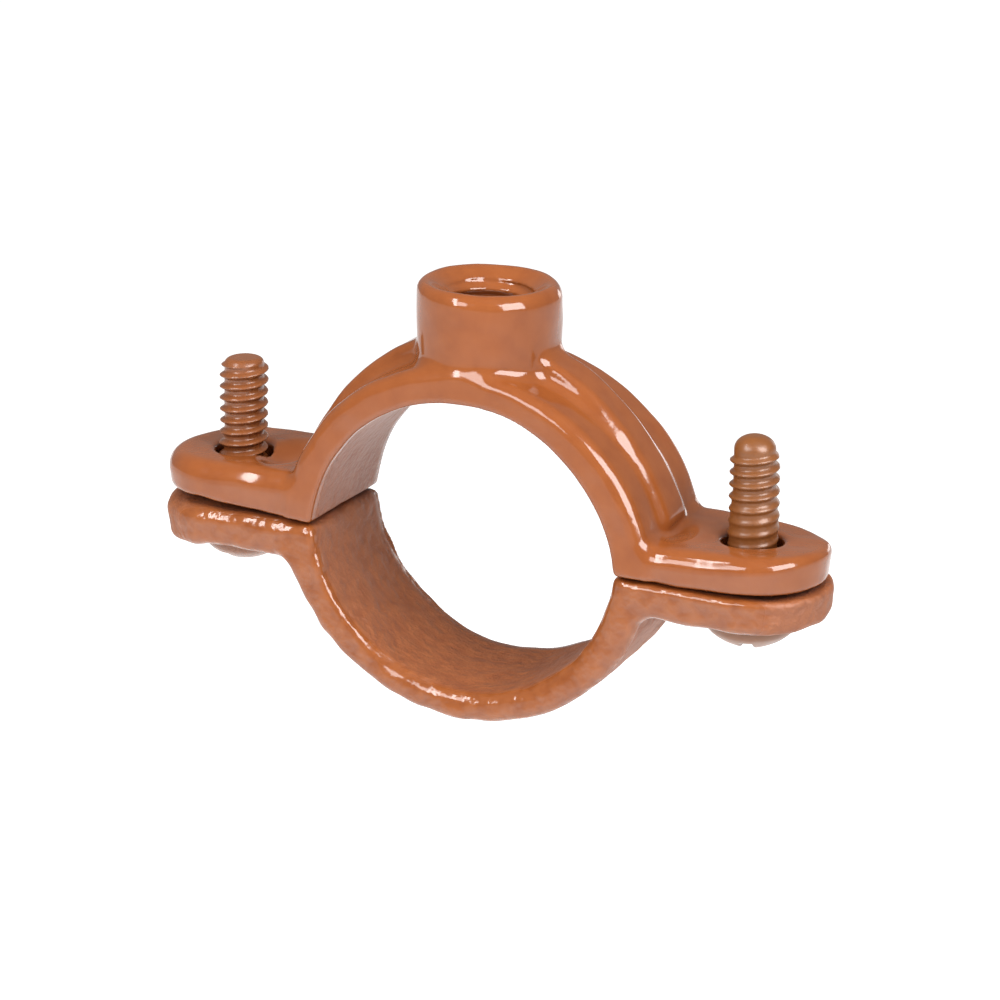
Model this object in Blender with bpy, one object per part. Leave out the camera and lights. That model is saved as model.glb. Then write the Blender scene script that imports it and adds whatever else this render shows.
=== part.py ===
"""Split ring hanger for 1-1/4 inch copper tube, as two cast half rings and two screws.

The upper half carries the boss that the hanger rod screws into. The lower half hangs
under it on two slotted round-head screws, which pass through its ears from below and
thread into the ears of the upper half.

Frame: origin at the centre of the boss mouth, +Z up along the hanger rod, +X along
the ears, +Y along the tube. All sizes are in metres.
"""
import math

import bmesh
import bpy

MM = 0.001

# The tube and the rod that the hanger is made for.
TUBE_RADIUS = 34.93 / 2 * MM
ROD_THREAD_MINOR_RADIUS = 8.0 / 2 * MM

# The ring: its width along the tube, and the plane where the halves meet.
RING_WIDTH = 15.5 * MM
BOSS_HEIGHT_OVER_SPLIT = 26.5 * MM
SPLIT_Z = -BOSS_HEIGHT_OVER_SPLIT
RUNNING_GAP = 0.3 * MM

# Both arcs are a little less than a half circle, so that the ears stand apart when
# the ring closes on its tube.
UPPER_BORE_RADIUS = TUBE_RADIUS
UPPER_BORE_DROP = 2.05 * MM
LOWER_BORE_RADIUS = TUBE_RADIUS - 0.1 * MM
LOWER_BORE_RISE = 1.3 * MM

UPPER_FLANGE_THICKNESS = 3.5 * MM
RIB_HEIGHT = 2.0 * MM
RIB_WIDTH = 5.2 * MM
LOWER_OUTER_RADIUS = 21.3 * MM
LOWER_OUTER_RISE = 2.4 * MM

# The ears. Their facing sides drift apart towards the ends.
SCREW_X = 29.4 * MM
EAR_END_RADIUS = RING_WIDTH / 2
EAR_END_X = 38.0 * MM
EAR_END_CENTRE_X = EAR_END_X - EAR_END_RADIUS
UPPER_EAR_TOP = 3.75 * MM
LOWER_EAR_BOTTOM = 4.1 * MM
EAR_FACE_RISE_AT_END = 0.45 * MM
EAR_FILLET_RADIUS = 1.2 * MM

# The boss and its socket.
BOSS_RADIUS = 7.6 * MM
BOSS_RIM_CHAMFER = 1.0 * MM
SOCKET_MOUTH_RADIUS = 5.7 * MM

# The screws: shank, slotted round head, and the holes that they pass through.
SCREW_RADIUS = 2.55 * MM
SCREW_LENGTH = 19.05 * MM
SCREW_TIP_CHAMFER = 0.7 * MM
SCREW_HOLE_RADIUS = SCREW_RADIUS + RUNNING_GAP
SCREW_HOLE_MOUTH_RADIUS = 3.25 * MM
HEAD_RADIUS = 4.6 * MM
HEAD_HEIGHT = 3.4 * MM
HEAD_EDGE_HEIGHT = 1.2 * MM
SLOT_WIDTH = 1.3 * MM
SLOT_DEPTH = 1.6 * MM
SLOT_TURN = {"left": math.radians(70), "right": math.radians(-77)}

# How far cutters reach past what they cut, and how finely round shapes are faceted.
OVERSHOOT = 1.0 * MM
RING_SEGMENTS = 96
BOSS_SEGMENTS = 64
HOLE_SEGMENTS = 32
FILLET_STEPS = 5
DOME_STEPS = 8
SMOOTH_BELOW = math.radians(30)

PAINT = {
    "upper_paint": ((0.500, 0.150, 0.055, 1.0), 0.20),
    "lower_paint": ((0.490, 0.150, 0.060, 1.0), 0.24),
    "left_screw_paint": ((0.420, 0.125, 0.048, 1.0), 0.34),
    "right_screw_paint": ((0.420, 0.125, 0.048, 1.0), 0.34),
}


def clear_scene():
    for obj in list(bpy.data.objects):
        bpy.data.objects.remove(obj)


def painted(slot):
    """Return the glossy paint of one piece."""
    colour, roughness = PAINT[slot]
    material = bpy.data.materials.new(slot)
    material.use_nodes = True
    shader = material.node_tree.nodes["Principled BSDF"]
    shader.inputs["Base Color"].default_value = colour
    shader.inputs["Roughness"].default_value = roughness
    shader.inputs["Metallic"].default_value = 0.0
    return material


def add_object(name, bm):
    """Put a closed bmesh into the scene as an object with its faces pointing out."""
    bmesh.ops.recalc_face_normals(bm, faces=bm.faces)
    mesh = bpy.data.meshes.new(name)
    bm.to_mesh(mesh)
    bm.free()
    obj = bpy.data.objects.new(name, mesh)
    bpy.context.scene.collection.objects.link(obj)
    return obj


def extruded(name, outline, depth, plane):
    """Extrude an outline by depth, half to each side of its plane ("XZ" or "XY")."""
    bm = bmesh.new()
    if plane == "XZ":
        ring = [bm.verts.new((x, -depth / 2, z)) for x, z in outline]
        along = (0, depth, 0)
    else:
        ring = [bm.verts.new((x, y, -depth / 2)) for x, y in outline]
        along = (0, 0, depth)
    face = bm.faces.new(ring)
    top = bmesh.ops.extrude_face_region(bm, geom=[face])["geom"]
    top_verts = [part for part in top if isinstance(part, bmesh.types.BMVert)]
    bmesh.ops.translate(bm, verts=top_verts, vec=along)
    return add_object(name, bm)


def turned(name, profile, segments):
    """Turn a profile of (radius, z) points about Z. It starts and ends on the axis."""
    bm = bmesh.new()
    start = bm.verts.new((0, 0, profile[0][1]))
    end = bm.verts.new((0, 0, profile[-1][1]))
    rings = []
    for radius, z in profile[1:-1]:
        angles = [2 * math.pi * i / segments for i in range(segments)]
        rings.append([bm.verts.new((radius * math.cos(a), radius * math.sin(a), z)) for a in angles])
    for i in range(segments):
        j = (i + 1) % segments
        bm.faces.new((start, rings[0][i], rings[0][j]))
        bm.faces.new((end, rings[-1][j], rings[-1][i]))
        for low, high in zip(rings, rings[1:]):
            bm.faces.new((low[i], high[i], high[j], low[j]))
    return add_object(name, bm)


def tool(obj):
    """Mark an object that only cuts or adds to another one."""
    obj.hide_render = True
    obj.display_type = "WIRE"
    return obj


def combine(target, other, operation):
    modifier = target.modifiers.new(other.name, "BOOLEAN")
    modifier.operation = operation
    modifier.object = tool(other)


def finish_piece(obj, slot):
    obj.data.shade_smooth()
    obj.data.set_sharp_from_angle(angle=SMOOTH_BELOW)
    obj.data.materials.append(painted(slot))


def arc(centre_z, radius, start, end, steps):
    """Points of an arc about (0, centre_z) in the XZ plane, both ends included."""
    angles = [start + (end - start) * i / steps for i in range(steps + 1)]
    return [(radius * math.cos(a), centre_z + radius * math.sin(a)) for a in angles]


def fillet_into_ear(centre_z, radius, ear_z):
    """The right-hand fillet between a ring's outer arc and an ear's face above the split.

    It is tangent to both: its centre stands a fillet radius off the ear's face and off
    the arc. Returns its points from the ear to the arc, and the arc's angle there.
    """
    height = ear_z + EAR_FILLET_RADIUS - centre_z
    reach = radius + EAR_FILLET_RADIUS
    touch = math.asin(height / reach)
    centre_x = reach * math.cos(touch)
    start, end = -math.pi / 2, touch - math.pi
    points = []
    for i in range(FILLET_STEPS + 1):
        a = start + (end - start) * i / FILLET_STEPS
        x = centre_x + EAR_FILLET_RADIUS * math.cos(a)
        z = ear_z + EAR_FILLET_RADIUS + EAR_FILLET_RADIUS * math.sin(a)
        points.append((x, z))
    return points, touch


def half_ring_outline(centre_z, radius, ear_z, contact_x):
    """Outer outline of a half with its ears, drawn as if it stood above the split."""
    fillet, touch = fillet_into_ear(centre_z, radius, ear_z)
    past_end = EAR_END_X + OVERSHOOT
    face_z = RUNNING_GAP / 2
    end_z = face_z + EAR_FACE_RISE_AT_END
    crown = arc(centre_z, radius, touch, math.pi - touch, RING_SEGMENTS // 2)[1:-1]
    right = [(contact_x, face_z), (past_end, end_z), (past_end, ear_z)] + fillet
    left = [(-x, z) for x, z in reversed(right)]
    return right + crown + left


def ears_plan():
    """Plan of both castings: as wide as the ring, with round ends just past the screws."""
    steps = HOLE_SEGMENTS // 2
    angles = [-math.pi / 2 + math.pi * i / steps for i in range(steps + 1)]
    right = [(EAR_END_CENTRE_X + EAR_END_RADIUS * math.cos(a), EAR_END_RADIUS * math.sin(a))
             for a in angles]
    left = [(-x, -y) for x, y in right]
    return right + left


def in_split_frame(outline, side):
    """Move an outline from above the split to its height; side is 1 above, -1 below."""
    return [(x, SPLIT_Z + side * z) for x, z in outline]


def trim_to_plan(piece, name):
    plan = extruded(name, ears_plan(), 4 * BOSS_HEIGHT_OVER_SPLIT, "XY")
    combine(piece, plan, "INTERSECT")


def bore_through(piece, name, radius, centre_z):
    circle = arc(centre_z, radius, 0, 2 * math.pi, RING_SEGMENTS)[:-1]
    depth = RING_WIDTH + 4 * OVERSHOOT
    combine(piece, extruded(name, circle, depth, "XZ"), "DIFFERENCE")


def screw_holes(piece, prefix, mouth_z):
    """Cut both screw holes. The wider mouth, where there is one, opens upwards."""
    low = SPLIT_Z - LOWER_EAR_BOTTOM - OVERSHOOT
    for side, sign in (("left", -1), ("right", 1)):
        if mouth_z is None:
            top = SPLIT_Z + UPPER_EAR_TOP
            profile = [(0, low), (SCREW_HOLE_RADIUS, low), (SCREW_HOLE_RADIUS, top), (0, top)]
        else:
            flare = SCREW_HOLE_MOUTH_RADIUS - SCREW_HOLE_RADIUS
            wide = SCREW_HOLE_MOUTH_RADIUS + OVERSHOOT
            profile = [
                (0, low),
                (SCREW_HOLE_RADIUS, low),
                (SCREW_HOLE_RADIUS, mouth_z - flare),
                (wide, mouth_z + OVERSHOOT),
                (0, mouth_z + OVERSHOOT),
            ]
        hole = turned(f"{prefix}_{side}_screw_hole", profile, HOLE_SEGMENTS)
        hole.location.x = sign * SCREW_X
        combine(piece, hole, "DIFFERENCE")


def make_rib():
    centre_z = -UPPER_BORE_DROP
    outer = UPPER_BORE_RADIUS + UPPER_FLANGE_THICKNESS + RIB_HEIGHT
    start = math.asin((UPPER_EAR_TOP - OVERSHOOT - centre_z) / outer)
    outline = arc(centre_z, outer, start, math.pi - start, RING_SEGMENTS // 2)
    return extruded("rib", in_split_frame(outline, 1), RIB_WIDTH, "XZ")


def make_boss():
    """The boss, down to below the bore's crown, where the bore cuts it off."""
    bottom = SPLIT_Z + UPPER_BORE_RADIUS / 2
    profile = [
        (0, bottom),
        (BOSS_RADIUS, bottom),
        (BOSS_RADIUS, -BOSS_RIM_CHAMFER),
        (BOSS_RADIUS - 0.3 * BOSS_RIM_CHAMFER, -0.3 * BOSS_RIM_CHAMFER),
        (BOSS_RADIUS - BOSS_RIM_CHAMFER, 0),
        (0, 0),
    ]
    return turned("boss", profile, BOSS_SEGMENTS)


def make_socket():
    """The tapped hole for the hanger rod, at its thread's inner radius."""
    flare = SOCKET_MOUTH_RADIUS - ROD_THREAD_MINOR_RADIUS
    bottom = SPLIT_Z + UPPER_BORE_RADIUS / 2 - OVERSHOOT
    profile = [
        (0, bottom),
        (ROD_THREAD_MINOR_RADIUS, bottom),
        (ROD_THREAD_MINOR_RADIUS, -flare),
        (SOCKET_MOUTH_RADIUS + OVERSHOOT, OVERSHOOT),
        (0, OVERSHOOT),
    ]
    return turned("rod_socket", profile, BOSS_SEGMENTS)


def make_upper_half():
    centre_z = -UPPER_BORE_DROP
    outline = half_ring_outline(
        centre_z, UPPER_BORE_RADIUS + UPPER_FLANGE_THICKNESS, UPPER_EAR_TOP, UPPER_BORE_RADIUS)
    depth = RING_WIDTH + 2 * OVERSHOOT
    piece = extruded("upper_half", in_split_frame(outline, 1), depth, "XZ")
    trim_to_plan(piece, "upper_plan")
    combine(piece, make_rib(), "UNION")
    combine(piece, make_boss(), "UNION")
    bore_through(piece, "upper_bore", UPPER_BORE_RADIUS, SPLIT_Z + centre_z)
    combine(piece, make_socket(), "DIFFERENCE")
    screw_holes(piece, "upper", SPLIT_Z + UPPER_EAR_TOP)
    finish_piece(piece, "upper_paint")


def make_lower_half():
    outline = half_ring_outline(
        -LOWER_OUTER_RISE, LOWER_OUTER_RADIUS, LOWER_EAR_BOTTOM, LOWER_BORE_RADIUS)
    depth = RING_WIDTH + 2 * OVERSHOOT
    piece = extruded("lower_half", in_split_frame(outline, -1), depth, "XZ")
    trim_to_plan(piece, "lower_plan")
    bore_through(piece, "lower_bore", LOWER_BORE_RADIUS, SPLIT_Z + LOWER_BORE_RISE)
    screw_holes(piece, "lower", None)
    finish_piece(piece, "lower_paint")


def make_screw(side, sign):
    """One screw, with its origin on its axis at the underside of the head."""
    slope = math.atan2(HEAD_HEIGHT - HEAD_EDGE_HEIGHT, HEAD_RADIUS)
    dome_radius = HEAD_RADIUS / math.sin(2 * slope)
    dome_centre = dome_radius - HEAD_HEIGHT
    edge = math.asin(HEAD_RADIUS / dome_radius)
    dome = []
    for i in range(1, DOME_STEPS + 1):
        a = edge * i / DOME_STEPS
        dome.append((dome_radius * math.sin(a), dome_centre - dome_radius * math.cos(a)))
    profile = [
        (0, -HEAD_HEIGHT),
        *dome,
        (HEAD_RADIUS, 0),
        (SCREW_RADIUS, 0),
        (SCREW_RADIUS, SCREW_LENGTH - SCREW_TIP_CHAMFER),
        (SCREW_RADIUS - SCREW_TIP_CHAMFER, SCREW_LENGTH),
        (0, SCREW_LENGTH),
    ]
    screw = turned(f"{side}_screw", profile, HOLE_SEGMENTS)
    half_length, half_width = HEAD_RADIUS + OVERSHOOT, SLOT_WIDTH / 2
    corners = [(-half_length, -half_width), (half_length, -half_width),
               (half_length, half_width), (-half_length, half_width)]
    slot = extruded(f"{side}_slot", corners, 2 * SLOT_DEPTH, "XY")
    slot.parent = screw
    slot.location.z = -HEAD_HEIGHT
    slot.rotation_euler.z = SLOT_TURN[side]
    combine(screw, slot, "DIFFERENCE")
    screw.location = (sign * SCREW_X, 0, SPLIT_Z - LOWER_EAR_BOTTOM - RUNNING_GAP)
    finish_piece(screw, f"{side}_screw_paint")


clear_scene()
make_upper_half()
make_lower_half()
make_screw("left", -1)
make_screw("right", 1)
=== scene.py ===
"""The looks of the split ring pipe hanger: two painted castings and two painted screws.

Each piece is described as a signed distance in millimetres, so that every corner gets the
soft radius that thick paint gives a casting, and is then meshed and painted.
"""
import math

import bpy
import numpy as np
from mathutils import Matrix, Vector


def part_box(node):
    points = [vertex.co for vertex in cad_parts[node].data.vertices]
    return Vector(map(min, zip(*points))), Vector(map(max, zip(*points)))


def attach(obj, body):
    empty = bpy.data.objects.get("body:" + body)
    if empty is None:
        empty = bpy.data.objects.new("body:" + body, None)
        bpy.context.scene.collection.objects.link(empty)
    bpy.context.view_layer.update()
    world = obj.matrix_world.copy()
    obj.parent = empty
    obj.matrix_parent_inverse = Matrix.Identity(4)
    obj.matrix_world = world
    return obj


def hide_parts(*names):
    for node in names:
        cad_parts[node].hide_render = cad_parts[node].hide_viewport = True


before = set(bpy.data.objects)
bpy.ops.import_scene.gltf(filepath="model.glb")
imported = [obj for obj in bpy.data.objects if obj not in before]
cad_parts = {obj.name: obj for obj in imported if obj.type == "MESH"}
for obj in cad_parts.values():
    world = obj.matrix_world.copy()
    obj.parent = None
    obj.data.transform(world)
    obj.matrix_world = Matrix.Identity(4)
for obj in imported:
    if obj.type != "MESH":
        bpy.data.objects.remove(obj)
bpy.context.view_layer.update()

import openvdb
from mathutils import Matrix, Vector

MM = 0.001

# Places that the frame gives, in millimetres. Heights are measured from the split.
UPPER_LOW, UPPER_HIGH = (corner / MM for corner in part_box("upper_half"))
LOWER_LOW, LOWER_HIGH = (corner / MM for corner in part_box("lower_half"))
SCREW_LOW, SCREW_HIGH = (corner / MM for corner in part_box("right_screw"))
SPLIT_Z = (UPPER_LOW.z + LOWER_HIGH.z) / 2
RING_WIDTH = UPPER_HIGH.y - UPPER_LOW.y
EAR_END_X = UPPER_HIGH.x
SCREW_X = (SCREW_LOW.x + SCREW_HIGH.x) / 2
BOSS_TOP = UPPER_HIGH.z - SPLIT_Z
RING_BOTTOM = LOWER_LOW.z - SPLIT_Z

# The castings, in millimetres. Pairs of (x, value) say how something changes along X, or
# along Y where that is noted. An _EDGE is the radius that an edge is rounded to.
UPPER_BORE_RADIUS, UPPER_BORE_Z, UPPER_BORE_EDGE = 17.4, -2.05, 0.5
LOWER_BORE_RADIUS, LOWER_BORE_Z = 17.25, 1.3
FLANGE_RADIUS = (-21, 20.95), (-6, 21.1), (8, 20.9), (21, 21.35)
FLANGE_EDGE = (-8, 1.5), (8, 0.9)  # along Y
RIB_RADIUS = (-18, 22.3), (-6, 23.6), (6, 23.2), (18, 22.1)
RIB_WIDTH, RIB_EDGE, RIB_END_Z, RIB_FILLET = 5.0, 1.0, 3.5, 1.2
LOWER_OUTER_RADIUS, LOWER_OUTER_Z, LOWER_EDGE = 21.4, 2.35, 1.1
LOWER_BORE_EDGE = (-8, 1.5), (8, 0.5)  # along Y
LOWER_LEFT_SHARPER = (-12.5, 0.45), (-8, 1.0)
BOSS_RADIUS, BOSS_BACK = 7.5, 0.15
BOSS_FILLET = (-8, 0.7), (-5, 1.3), (-2, 0.8), (8, 1.0)
BOSS_HIGHER, BOSS_TILT = 0.25, 0.02
BOSS_EDGE = (-8, 1.0), (8, 1.7)
SOCKET_MAJOR, SOCKET_MINOR, SOCKET_PITCH = 4.75, 3.95, 1.5875
SOCKET_MOUTH, MOUTH_SLOPE, MOUTH_EDGE = 6.35, 1.6, 0.35
UPPER_RIGHT_SHORTER, LOWER_RIGHT_SHORTER = 0.6, 0.2
UPPER_EAR_TOP = (-38, 5.0), (-20, 5.0), (20, 3.3), (38, 3.1)
RIGHT_EAR_TWIST, TWIST_CENTRE_X = 0.0065, 26
UPPER_EAR_EDGE = (-30, 2.2), (26, 2.0), (33, 1.7), (38, 0.8)
LEFT_EAR_SHARPER = (-1, 1.0), (5, 0.4)  # along Y, where LEFT_EAR_BACK is 1
LEFT_EAR_BACK = (-36, 0), (-32, 1), (-10, 1), (0, 0)
UPPER_FACE = (
    (-38, 0.35), (-35, 0.75), (-31, 1.05), (-26, 0.65),
    (-18, 0.15), (18, -0.3), (24, -0.5), (36, -0.45),
)
UPPER_FACE_EDGE = (-38, 1.3), (-33, 0.6), (-28, 0.4)
LOWER_FACE = (-38, -0.2), (-26, -0.05), (-18, -0.25), (18, -0.7), (24, -0.85), (30, -0.95)
LOWER_FACE_EDGE = (-38, 1.7), (-22, 1.5), (-18, 1.0), (18, 0.6)
LOWER_EAR_BOTTOM = (-38, -5.4), (-30, -4.2), (18, -4.1), (25, -4.6), (34, -4.6), (38, -4.4)
LOWER_EAR_EDGE = 0.9
UPPER_EAR_DRAFT, LOWER_EAR_DRAFT = 0.1, 0.08
UPPER_EAR_FILLET, LOWER_EAR_FILLET = 1.0, 1.6
HOLE_RADIUS, HOLE_MOUTH, HOLE_EDGE = 3.1, 3.45, 0.3

# The shallow dents in the tops of the ears: centre and half sizes.
DENTS = (((-24.2, -0.2, 5.7), (2.6, 4.2, 2.0)), ((21.0, -1.2, 4.4), (3.0, 3.4, 1.7)))
DENT_EDGE = 0.6

# The screws, in millimetres and in parts of the pitch. Up through FILLED_Z the thread opens
# from FILLED_DEPTH, where paint fills it, to its full depth; the left one is open all the way.
THREAD_PITCH = 1.27
SCREW_RADIUS = {"left": 2.67, "right": 2.58}
THREAD_DEPTH = {"left": 0.55, "right": 0.44}
THREAD_CREST, THREAD_FLANK, FLANK_STEEPNESS = 0.05, 0.27, 0.8
THREAD_PHASE = {"left": 0.74, "right": 0.47}
FILLED_Z = {"left": (-9, -8), "right": (5.5, 8.5)}
FILLED_DEPTH = 0.3
TIP_Z = {"left": 15.0, "right": 14.05}
TIP_EDGE = {"left": 0.6, "right": 1.4}
PLAIN_TIP = {"left": 0.9, "right": 2.1}
RUN_OUT = 0.4
SHANK_IN_HEAD, SHANK_END_EDGE = 1.0, 0.2
HEAD_SIDE, HEAD_RIM_EDGE, HEAD_TOP_EDGE, HEAD_FILLET = 1.1, 0.5, 0.3, 0.3
HEAD_TOP_Z = {"left": -4.25, "right": -4.7}
HEAD_RADIUS = {"left": 4.6, "right": 4.85}
HEAD_BOTTOM_Z = {"left": -7.5, "right": -8.2}
SLOT_TURN = {"left": 70, "right": -77}
SLOT_WIDTH, SLOT_DEPTH, SLOT_EDGE = 1.2, 1.3, 0.25

# The left screw leans to the right. At LEAN_Z its axis is LEAN_AT_Z right of its hole's, and
# nowhere is it further left than LEAN_LEAST.
LEAN_SLOPE, LEAN_Z, LEAN_AT_Z, LEAN_LEAST = 0.035, 4, -0.15, -0.25

# The unevenness of each piece: height and size of its lumps in millimetres, and their seed.
LUMPS = {
    "upper": ((0.045, 5.0, 11), (0.028, 1.7, 12)),
    "lower": ((0.03, 3.5, 21), (0.055, 1.4, 22)),
    "left": ((0.02, 1.5, 31),),
    "right": ((0.02, 1.5, 32),),
}

# Sizes of the grids that the distances are sampled on: millimetres, and steps of margin.
STEP = 0.25
SCREW_STEP = 0.13
MARGIN = 4

# The camera: degrees right of the front and above it, and metres.
CAMERA_AZIMUTH, CAMERA_ELEVATION = 25.4, 18.5
CAMERA_DISTANCE, CAMERA_SIDEWAYS, CAMERA_UPWARDS = 0.3234, 0.00107, 0.00285
CAMERA_LENS_MM, CAMERA_SENSOR_MM = 111, 36

# Where the lamps point, and how far away they stand, in metres.
RING_MIDDLE = Vector((0, 0, SPLIT_Z * MM))
LAMP_DISTANCE = 0.6

# Colour, roughness, size and height of the lumps in millimetres, how far the lumps' painted shade and
# light tint the colour and, for a rough casting, the added roughness and the bore that it is kept to.
PAINT = {
    "upper_paint": (
        (0.203, 0.0560, 0.0140), 0.09, 2.2, 0.05, 0.2, 0.35, (UPPER_BORE_RADIUS, UPPER_BORE_Z),
    ),
    "lower_paint": ((0.208, 0.0600, 0.0160), 0.13, 1.4, 0.22, 0.8, 0.45),
    "left_screw_paint": ((0.167, 0.0520, 0.0150), 0.26, 0.8, 0.03, 0.2),
    "right_screw_paint": ((0.152, 0.0505, 0.0120), 0.32, 0.8, 0.03, 0.2),
}

# How the paint's red, green and blue change: less and more paint, where painted shade also darkens the
# lumps' low sides and painted light lightens their tops, and painted shade in a hollow.
THIN_OR_SHADED, THICK_OR_LIT, HOLLOW_SHADE = (0.17, 0.23, 0.27), (0.11, 0.16, 0.20), (0.62, 0.50, 0.45)

# Sizes and heights in millimetres of the orange peel and of the rough casting, and how far
# from the faces and past the bore the casting's roughness starts and ends.
PEEL_SIZE, PEEL_HEIGHT = 0.45, 0.006
GRAIN_SIZE, GRAIN_HEIGHT = 0.9, 0.22
ROUGH_FROM_FACE, ROUGH_PAST_BORE = (1.4, 0.7), (0.3, 0.9)


# ---------------------------------------------------------------- distances

def fuse(a, b, radius):
    """Union with a fillet of that radius."""
    u, v = np.maximum(radius - a, 0), np.maximum(radius - b, 0)
    return np.maximum(radius, np.minimum(a, b)) - np.sqrt(u * u + v * v)


def keep(a, b, radius):
    """Intersection with an outer edge rounded to that radius."""
    u, v = np.maximum(radius + a, 0), np.maximum(radius + b, 0)
    return np.minimum(-radius, np.maximum(a, b)) + np.sqrt(u * u + v * v)


def cut(a, b, radius):
    """a without b, with the edge rounded to that radius."""
    return keep(a, -b, radius)


def along(x, pairs):
    """The value at x of something given as (x, value) pairs."""
    return np.interp(x, *zip(*pairs))


def box_grid(low, high, step):
    """Sparse coordinate arrays that cover a box and a margin around it."""
    axes = []
    for start, end in zip(low, high):
        count = int(math.ceil((end - start) / step)) + 2 * MARGIN
        axes.append(start - MARGIN * step + step * np.arange(count))
    return np.meshgrid(*axes, indexing="ij", sparse=True)


def spline_weights(count, spacing):
    """Cubic B-spline weights of a coarse lattice at each of count samples."""
    place = np.arange(count) / spacing
    base = np.floor(place).astype(int)
    t = place - base
    weights = np.zeros((count, base[-1] + 4))
    parts = (1 - t) ** 3, 3 * t**3 - 6 * t**2 + 4, -3 * t**3 + 3 * t**2 + 3 * t + 1, t**3
    for k, part in enumerate(parts):
        weights[np.arange(count), base + k] = part / 6
    return weights


def unevenness(shape, step, size, seed):
    """Smooth random lumps of about that size in millimetres, with a spread of 1."""
    weights = [spline_weights(count, size / step) for count in shape]
    lattice = np.random.default_rng(seed).standard_normal([w.shape[1] for w in weights])
    field = np.einsum("abc,ia->ibc", lattice, weights[0])
    field = np.einsum("ibc,jb->ijc", field, weights[1])
    field = np.einsum("ijc,kc->ijk", field, weights[2])
    return field / field.std()


def with_lumps(distance, step, piece):
    """That distance with the piece's unevenness added."""
    for height, size, seed in LUMPS[piece]:
        distance = distance + height * unevenness(distance.shape, step, size, seed)
    return distance


def meshed(name, distance, grid, step, place):
    """Turn a distance into an object's mesh, with place as its origin, in millimetres."""
    volume = openvdb.FloatGrid(MARGIN * step)
    limit = MARGIN * step
    volume.copyFromArray(np.clip(distance, -limit, limit).astype(np.float32))
    points, quads = volume.convertToQuads(0.0)
    low = np.array([axis.ravel()[0] for axis in grid])
    points = (points * step + low + np.array([0, 0, SPLIT_Z]) - np.array(place)) * MM
    quads = quads[:, ::-1]
    mesh = bpy.data.meshes.new(name)
    mesh.vertices.add(len(points))
    mesh.vertices.foreach_set("co", points.astype(np.float32).ravel())
    mesh.loops.add(quads.size)
    mesh.loops.foreach_set("vertex_index", quads.astype(np.int32).ravel())
    mesh.polygons.add(len(quads))
    mesh.polygons.foreach_set("loop_start", np.arange(0, quads.size, 4, dtype=np.int32))
    mesh.update(calc_edges=True)
    mesh.validate()
    mesh.shade_smooth()
    obj = bpy.data.objects.new(name, mesh)
    obj.location = Vector(place) * MM
    bpy.context.scene.collection.objects.link(obj)
    return obj


# ---------------------------------------------------------------- castings

def ears_plan(x, y, right_shorter):
    """Plan of both castings: as wide as the ring, with round ends."""
    end_radius = RING_WIDTH / 2
    centre_x = EAR_END_X - end_radius
    past = np.maximum(np.maximum(x - centre_x + right_shorter, -x - centre_x), 0)
    return np.hypot(past, y) - end_radius


def thread_wave(phase):
    """A rounded triangle wave, 1 at each crest and -1 at each root."""
    sharpness = 0.93
    return np.arcsin(sharpness * np.cos(2 * np.pi * phase)) / math.asin(sharpness)


def screw_hole(x, y, z, sign):
    """The hole in an ear of the upper half, with its worn mouth."""
    radius = np.hypot(x - sign * SCREW_X, y)
    mouth = HOLE_MOUTH - HOLE_RADIUS
    flare = np.clip(z - along(sign * SCREW_X, UPPER_EAR_TOP) + mouth, 0, 2 * mouth)
    return radius - HOLE_RADIUS - flare


def dent(x, y, z, centre, size):
    """Roughly the distance from an ellipsoid."""
    parts = [((v - c) / s) ** 2 for v, c, s in zip((x, y, z), centre, size)]
    return (np.sqrt(sum(parts)) - 1) * min(size)


def boss_distance(x, y, z):
    """The boss without its socket. Its top leans a little to the right."""
    over_top = z - BOSS_TOP - BOSS_HIGHER + BOSS_TILT * x
    return keep(np.hypot(x, y - BOSS_BACK) - BOSS_RADIUS, over_top, along(x, BOSS_EDGE))


def socket_distance(x, y, z):
    """The tapped hole for the rod, with its wide mouth."""
    angle = np.arctan2(y, x)
    wave = thread_wave((z - BOSS_TOP) / SOCKET_PITCH - angle / (2 * np.pi))
    middle = (SOCKET_MAJOR + SOCKET_MINOR) / 2
    thread = np.hypot(x, y) - middle - (SOCKET_MAJOR - SOCKET_MINOR) / 2 * wave
    under_top = BOSS_TOP + BOSS_HIGHER - BOSS_TILT * x - z
    mouth = (np.hypot(x, y) - SOCKET_MOUTH + MOUTH_SLOPE * under_top) / math.hypot(1, MOUTH_SLOPE)
    return np.minimum(thread, mouth)


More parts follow.
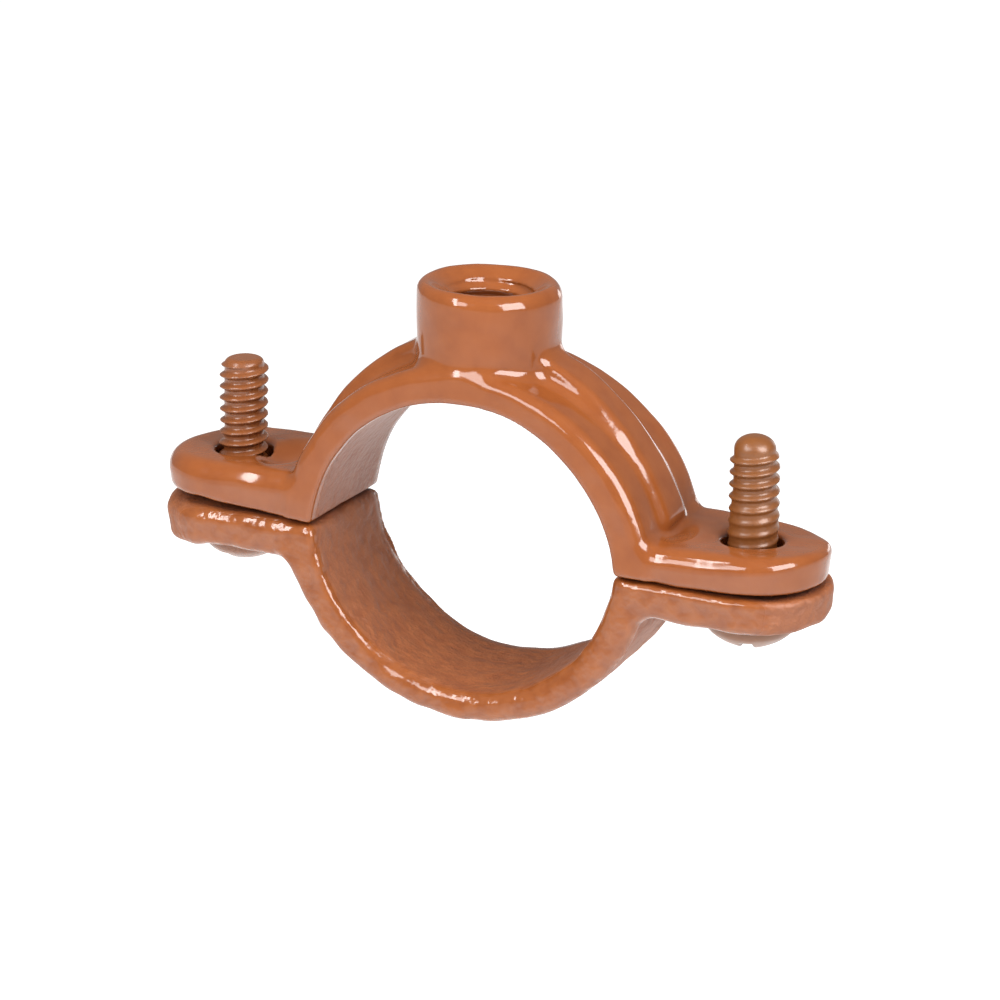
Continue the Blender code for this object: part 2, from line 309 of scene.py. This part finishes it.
def upper_distance(grid):
    """The upper casting: flange, rib, ears and boss, less the bore and the three holes."""
    x, y, z = grid
    around = np.hypot(x, z - UPPER_BORE_Z)
    faces = np.abs(y) - RING_WIDTH / 2
    top = along(x, UPPER_EAR_TOP) + RIGHT_EAR_TWIST * y * np.where(x > 0, TWIST_CENTRE_X - x, 0)
    flange = keep(around - along(x, FLANGE_RADIUS), faces, along(y, FLANGE_EDGE))
    rib = keep(around - along(x, RIB_RADIUS), np.abs(y) - RIB_WIDTH / 2, RIB_EDGE)
    rib = keep(rib, RIB_END_Z - z, RIB_FILLET)
    plan = ears_plan(x, y, UPPER_RIGHT_SHORTER) + UPPER_EAR_DRAFT * (top - z)
    sharper = 1 - (1 - along(y, LEFT_EAR_SHARPER)) * along(x, LEFT_EAR_BACK)
    ear = keep(plan, z - top, along(x, UPPER_EAR_EDGE) * sharper)
    for centre, size in DENTS:
        ear = cut(ear, dent(x, y, z, centre, size), DENT_EDGE)
    body = fuse(flange, rib, RIB_FILLET)
    body = fuse(body, ear, UPPER_EAR_FILLET)
    body = fuse(body, boss_distance(x, y, z), along(x, BOSS_FILLET))
    body = np.maximum(body, faces)
    body = cut(body, around - UPPER_BORE_RADIUS, UPPER_BORE_EDGE)
    body = keep(body, along(x, UPPER_FACE) - z, along(x, UPPER_FACE_EDGE))
    body = cut(body, socket_distance(x, y, z), MOUTH_EDGE)
    for sign in (-1, 1):
        body = cut(body, screw_hole(x, y, z, sign), HOLE_EDGE)
    return body


def lower_distance(grid):
    """The lower casting: a plain half ring and its ears, less the bore and the two holes."""
    x, y, z = grid
    faces = np.abs(y) - RING_WIDTH / 2
    ring = keep(np.hypot(x, z - LOWER_OUTER_Z) - LOWER_OUTER_RADIUS, faces, LOWER_EDGE)
    plan = ears_plan(x, y, LOWER_RIGHT_SHORTER) - LOWER_EAR_DRAFT * (z - along(x, LOWER_FACE))
    ear = keep(plan, along(x, LOWER_EAR_BOTTOM) - z, LOWER_EAR_EDGE)
    body = fuse(ring, ear, LOWER_EAR_FILLET)
    body = np.maximum(body, faces)
    bore_edge = along(y, LOWER_BORE_EDGE) * along(x, LOWER_LEFT_SHARPER)
    body = cut(body, np.hypot(x, z - LOWER_BORE_Z) - LOWER_BORE_RADIUS, bore_edge)
    body = keep(body, z - along(x, LOWER_FACE), along(x, LOWER_FACE_EDGE))
    for sign in (-1, 1):
        body = cut(body, np.hypot(x - sign * SCREW_X, y) - HOLE_RADIUS, HOLE_EDGE)
    return body


def make_upper_half():
    """The casting with the boss, in the upper half's CAD box."""
    low = (UPPER_LOW.x, UPPER_LOW.y, 0)
    high = (UPPER_HIGH.x, UPPER_HIGH.y, BOSS_TOP)
    grid = box_grid(low, high, STEP)
    distance = with_lumps(upper_distance(grid), STEP, "upper")
    return meshed("upper_casting", distance, grid, STEP, (0, 0, SPLIT_Z))


def make_lower_half():
    """The plain casting, in the lower half's CAD box."""
    low = (LOWER_LOW.x, LOWER_LOW.y, RING_BOTTOM)
    high = (LOWER_HIGH.x, LOWER_HIGH.y, 0)
    grid = box_grid(low, high, STEP)
    distance = with_lumps(lower_distance(grid), STEP, "lower")
    return meshed("lower_casting", distance, grid, STEP, (0, 0, SPLIT_Z))


# ---------------------------------------------------------------- screws

def thread_depth(phase, full):
    """The depth of the thread: 0 on its narrow crest, then a wide root filled with paint."""
    off_crest = np.abs(phase - np.round(phase))
    slope = np.sqrt(off_crest**2 + THREAD_CREST**2) - THREAD_CREST
    return full * np.minimum(slope / THREAD_FLANK, 1)


def screw_distance(grid, side):
    """A threaded shank with a plain tip, fused to a slotted round head below."""
    x, y, z = grid
    sign = -1 if side == "left" else 1
    x = x - sign * SCREW_X
    lean = 0
    if side == "left":
        lean = np.maximum(LEAN_SLOPE * (z - LEAN_Z) + LEAN_AT_Z, LEAN_LEAST)
    radius, angle = np.hypot(x - lean, y), np.arctan2(y, x - lean)
    phase = z / THREAD_PITCH - angle / (2 * np.pi) - THREAD_PHASE[side]
    plain = np.clip((z - TIP_Z[side] + PLAIN_TIP[side]) / RUN_OUT, 0, 1)
    low, high = FILLED_Z[side]
    open_thread = np.clip((z - low) / (high - low), 0, 1)
    depth = thread_depth(phase, THREAD_DEPTH[side])
    depth = depth * (FILLED_DEPTH + (1 - FILLED_DEPTH) * open_thread)
    surface = SCREW_RADIUS[side] - np.maximum(depth, THREAD_DEPTH[side] * plain)
    shank = keep((radius - surface) * FLANK_STEEPNESS, z - TIP_Z[side], TIP_EDGE[side])
    shank = keep(shank, HEAD_TOP_Z[side] - SHANK_IN_HEAD - z, SHANK_END_EDGE)
    bottom = HEAD_BOTTOM_Z[side]
    rise = HEAD_TOP_Z[side] - HEAD_SIDE - bottom
    dome_radius = (HEAD_RADIUS[side] ** 2 + rise**2) / (2 * rise)
    dome = np.sqrt(x * x + y * y + (z - bottom - dome_radius) ** 2) - dome_radius
    head = keep(np.hypot(x, y) - HEAD_RADIUS[side], dome, HEAD_RIM_EDGE)
    head = keep(head, z - HEAD_TOP_Z[side], HEAD_TOP_EDGE)
    turn = math.radians(SLOT_TURN[side])
    slot_side = np.abs(-x * math.sin(turn) + y * math.cos(turn)) - SLOT_WIDTH / 2
    head = cut(head, np.maximum(slot_side, z - bottom - SLOT_DEPTH), SLOT_EDGE)
    return fuse(shank, head, HEAD_FILLET)


def make_screw(side):
    """The screw of one side, with its origin on the axis that it turns about."""
    low, high = (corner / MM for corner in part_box(f"{side}_screw"))
    grid = box_grid((low.x, low.y, HEAD_BOTTOM_Z[side]), (high.x, high.y, TIP_Z[side]), SCREW_STEP)
    distance = with_lumps(screw_distance(grid, side), SCREW_STEP, side)
    place = ((low.x + high.x) / 2, 0, SPLIT_Z)
    return meshed(f"{side}_screw_painted", distance, grid, SCREW_STEP, place)


# ---------------------------------------------------------------- paint

def node(tree, kind, **values):
    """Add a shader node and set its inputs by name."""
    made = tree.nodes.new(kind)
    for name, value in values.items():
        made.inputs[name].default_value = value
    return made


def noise(tree, where, size_mm, detail):
    """Noise whose lumps are about that many millimetres across."""
    made = node(tree, "ShaderNodeTexNoise", Scale=1 / (size_mm * MM), Detail=detail)
    tree.links.new(where, made.inputs["Vector"])
    return made.outputs["Fac"]


def ramp(tree, factor, *stops):
    """A colour ramp from (place, colour) stops."""
    made = tree.nodes.new("ShaderNodeValToRGB")
    elements = made.color_ramp.elements
    while len(elements) < len(stops):
        elements.new(0.5)
    for element, (place, colour) in zip(elements, stops):
        element.position = place
        element.color = (*colour, 1)
    tree.links.new(factor, made.inputs["Fac"])
    return made.outputs["Color"]


def math_node(tree, operation, a, b):
    """A math node on two values, each a float or a socket."""
    made = tree.nodes.new("ShaderNodeMath")
    made.operation = operation
    for socket, value in zip(made.inputs, (a, b)):
        if isinstance(value, float):
            socket.default_value = value
        else:
            tree.links.new(value, socket)
    return made.outputs["Value"]


def fading(tree, value, full_mm, none_mm):
    """1 where a distance in metres is full_mm, falling to 0 where it is none_mm."""
    limits = {"From Min": full_mm * MM, "From Max": none_mm * MM, "To Min": 1.0, "To Max": 0.0}
    made = node(tree, "ShaderNodeMapRange", **limits)
    tree.links.new(value, made.inputs["Value"])
    return made.outputs["Result"]


def rough_places(tree, where, bore):
    """Where the casting is rough: between its two faces and, with a bore, only inside that."""
    parts = tree.nodes.new("ShaderNodeSeparateXYZ")
    tree.links.new(where, parts.inputs["Vector"])
    across = math_node(tree, "ABSOLUTE", parts.outputs["Y"], 0.0)
    mask = fading(tree, across, *(RING_WIDTH / 2 - gap for gap in ROUGH_FROM_FACE))
    if bore is None:
        return mask
    radius, centre_z = bore
    sideways = parts.outputs["X"]
    up = math_node(tree, "SUBTRACT", parts.outputs["Z"], centre_z * MM)
    squares = (math_node(tree, "MULTIPLY", part, part) for part in (up, sideways))
    around = math_node(tree, "SQRT", math_node(tree, "ADD", *squares), 0.0)
    inside = fading(tree, around, *(radius + gap for gap in ROUGH_PAST_BORE))
    return math_node(tree, "MULTIPLY", mask, inside)


def paint(name, colour, roughness, lump_mm, lump_height_mm, lump_shade_weight, rougher=0.0, bore=None):
    """Thick glossy paint: thin and darker in places, with orange peel and lumps, and painted shade on
    the lumps' low sides and in hollows.

    The arguments after the name are those of PAINT.
    """
    material = bpy.data.materials.new(name)
    material.use_nodes = True
    tree = material.node_tree
    links = tree.links
    shader = tree.nodes["Principled BSDF"]
    where = tree.nodes.new("ShaderNodeTexCoord").outputs["Object"]

    # The paint is darker where it is thin and in patches; painted shade also darkens the lumps' low
    # sides and painted light lightens their tops.
    contrast = 0.3 + 0.8 * lump_shade_weight
    thin = tuple(c * (1 - contrast * f) for c, f in zip(colour, THIN_OR_SHADED))
    thick = tuple(c * (1 + contrast * f) for c, f in zip(colour, THICK_OR_LIT))
    relief = noise(tree, where, lump_mm, 1.5)
    lump_shade_part = math_node(tree, "MULTIPLY", relief, lump_shade_weight)
    rest = math_node(tree, "MULTIPLY", noise(tree, where, 2.2, 6.0), 1.0 - lump_shade_weight)
    tone_and_lump_shade = ramp(tree, math_node(tree, "ADD", lump_shade_part, rest), (0.3, thin), (0.5, colour), (0.7, thick))

    # Painted shade: the colour is darkest in the hollows and where pieces meet, where shade falls.
    hollow_shade_ao = node(tree, "ShaderNodeAmbientOcclusion", Distance=1.6 * MM)
    hollow_shade_ao.samples = 6
    links.new(tone_and_lump_shade, hollow_shade_ao.inputs["Color"])
    shaded_colour = tuple(c * f for c, f in zip(colour, HOLLOW_SHADE))
    depth = node(tree, "ShaderNodeMapRange", **{"From Min": 0.25, "From Max": 0.8})
    links.new(hollow_shade_ao.outputs["AO"], depth.inputs["Value"])
    mix = tree.nodes.new("ShaderNodeMix")
    mix.data_type = "RGBA"
    mix.inputs["A"].default_value = (*shaded_colour, 1)
    links.new(depth.outputs["Result"], mix.inputs["Factor"])
    links.new(tone_and_lump_shade, mix.inputs["B"])
    links.new(mix.outputs["Result"], shader.inputs["Base Color"])

    # The gloss varies a little, and lumps and orange peel bend the highlights.
    dull = node(tree, "ShaderNodeMapRange", **{"To Min": roughness - 0.05, "To Max": roughness + 0.08})
    links.new(noise(tree, where, 1.8, 3.0), dull.inputs["Value"])
    rough = dull.outputs["Result"]
    lumps = node(tree, "ShaderNodeBump", Strength=1.0, Distance=lump_height_mm * MM)
    links.new(relief, lumps.inputs["Height"])
    peel = node(tree, "ShaderNodeBump", Strength=1.0, Distance=PEEL_HEIGHT * MM)
    links.new(noise(tree, where, PEEL_SIZE, 2.0), peel.inputs["Height"])
    links.new(lumps.outputs["Normal"], peel.inputs["Normal"])
    normal = peel.outputs["Normal"]

    # Some places show the rough casting under the paint.
    if rougher:
        places = rough_places(tree, where, bore)
        rough = math_node(tree, "ADD", rough, math_node(tree, "MULTIPLY", places, rougher))
        grain = node(tree, "ShaderNodeBump", Strength=1.0, Distance=GRAIN_HEIGHT * MM)
        height = math_node(tree, "MULTIPLY", noise(tree, where, GRAIN_SIZE, 2.0), places)
        links.new(height, grain.inputs["Height"])
        links.new(normal, grain.inputs["Normal"])
        normal = grain.outputs["Normal"]

    links.new(rough, shader.inputs["Roughness"])
    links.new(normal, shader.inputs["Normal"])
    return material


def finish_piece(obj, body, slot):
    """Paint a piece and tie it to its CAD body."""
    obj.data.materials.append(paint(slot, *PAINT[slot]))
    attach(obj, body)
    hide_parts(body)


# ---------------------------------------------------------------- stage

def direction(azimuth, elevation):
    """The unit vector that points so many degrees right of the front and above it."""
    turn, rise = math.radians(azimuth), math.radians(elevation)
    return Vector((math.sin(turn) * math.cos(rise), -math.cos(turn) * math.cos(rise), math.sin(rise)))


def add_area(name, azimuth, elevation, roll, size, radiance, diffuse=True, glossy=True):
    """A softbox of a size in metres that faces the ring.

    It can leave out its diffuse light or its reflections.
    """
    toward = direction(azimuth, elevation)
    light = bpy.data.lights.new(name, "AREA")
    light.shape = "RECTANGLE"
    light.size, light.size_y = size
    light.energy = radiance * math.pi * size[0] * size[1]
    obj = bpy.data.objects.new(name, light)
    obj.location = RING_MIDDLE + toward * LAMP_DISTANCE
    facing = toward.to_track_quat("Z", "Y").to_matrix() @ Matrix.Rotation(math.radians(roll), 3, "Z")
    obj.rotation_euler = facing.to_euler()
    obj.visible_diffuse, obj.visible_glossy = diffuse, glossy
    bpy.context.scene.collection.objects.link(obj)


def make_floor():
    """A pale floor, well below the ring."""
    bpy.ops.mesh.primitive_circle_add(vertices=96, radius=4.0, fill_type="NGON")
    floor = bpy.context.object
    floor.name = "floor"
    floor.location.z = -0.3
    material = bpy.data.materials.new("pale_floor")
    material.use_nodes = True
    shader = material.node_tree.nodes["Principled BSDF"]
    shader.inputs["Base Color"].default_value = (0.85, 0.85, 0.85, 1)
    shader.inputs["Roughness"].default_value = 0.9
    shader.inputs["Specular IOR Level"].default_value = 0.0
    shader.inputs["Emission Color"].default_value = (1, 1, 1, 1)
    shader.inputs["Emission Strength"].default_value = 0.74
    floor.data.materials.append(material)


def make_lights():
    """Even white surroundings and the lamps. The two cards show in reflections only."""
    world = bpy.data.worlds.new("studio")
    bpy.context.scene.world = world
    world.use_nodes = True
    background = world.node_tree.nodes["Background"]
    background.inputs["Color"].default_value = (1, 1, 1, 1)
    background.inputs["Strength"].default_value = 0.32
    add_area("key_light", -11, 29, 0, (0.24, 0.24), 9)
    add_area("strip_light", -33, 36, 22, (0.08, 0.55), 18)
    add_area("right_light", 60, 30, 0, (0.09, 0.5), 10, glossy=False)
    add_area("fill_light", 62, 55, 0, (0.5, 0.5), 7.0, glossy=False)
    add_area("right_card", 66, 27, 0, (0.40, 0.44), 13, diffuse=False)
    add_area("rim_card", 172, 3, 0, (0.16, 0.12), 2.8, diffuse=False)
    bpy.context.scene.view_settings.view_transform = "Standard"


def make_camera():
    """The camera, a little right of the ring's middle and above it."""
    toward = direction(CAMERA_AZIMUTH, CAMERA_ELEVATION)
    turn = math.radians(CAMERA_AZIMUTH)
    right = Vector((math.cos(turn), math.sin(turn), 0))
    up = toward.cross(right)
    data = bpy.data.cameras.new("camera")
    data.sensor_width = CAMERA_SENSOR_MM
    data.lens = CAMERA_LENS_MM
    data.clip_start = 0.01
    camera = bpy.data.objects.new("camera", data)
    place = RING_MIDDLE + toward * CAMERA_DISTANCE + right * CAMERA_SIDEWAYS + up * CAMERA_UPWARDS
    facing = toward.to_track_quat("Z", "Y").to_matrix().to_4x4()
    camera.matrix_world = Matrix.Translation(place) @ facing
    bpy.context.scene.collection.objects.link(camera)
    bpy.context.scene.camera = camera


make_camera()
make_floor()
make_lights()
finish_piece(make_upper_half(), "upper_half", "upper_paint")
finish_piece(make_lower_half(), "lower_half", "lower_paint")
for side in ("left", "right"):
    finish_piece(make_screw(side), f"{side}_screw", f"{side}_screw_paint")
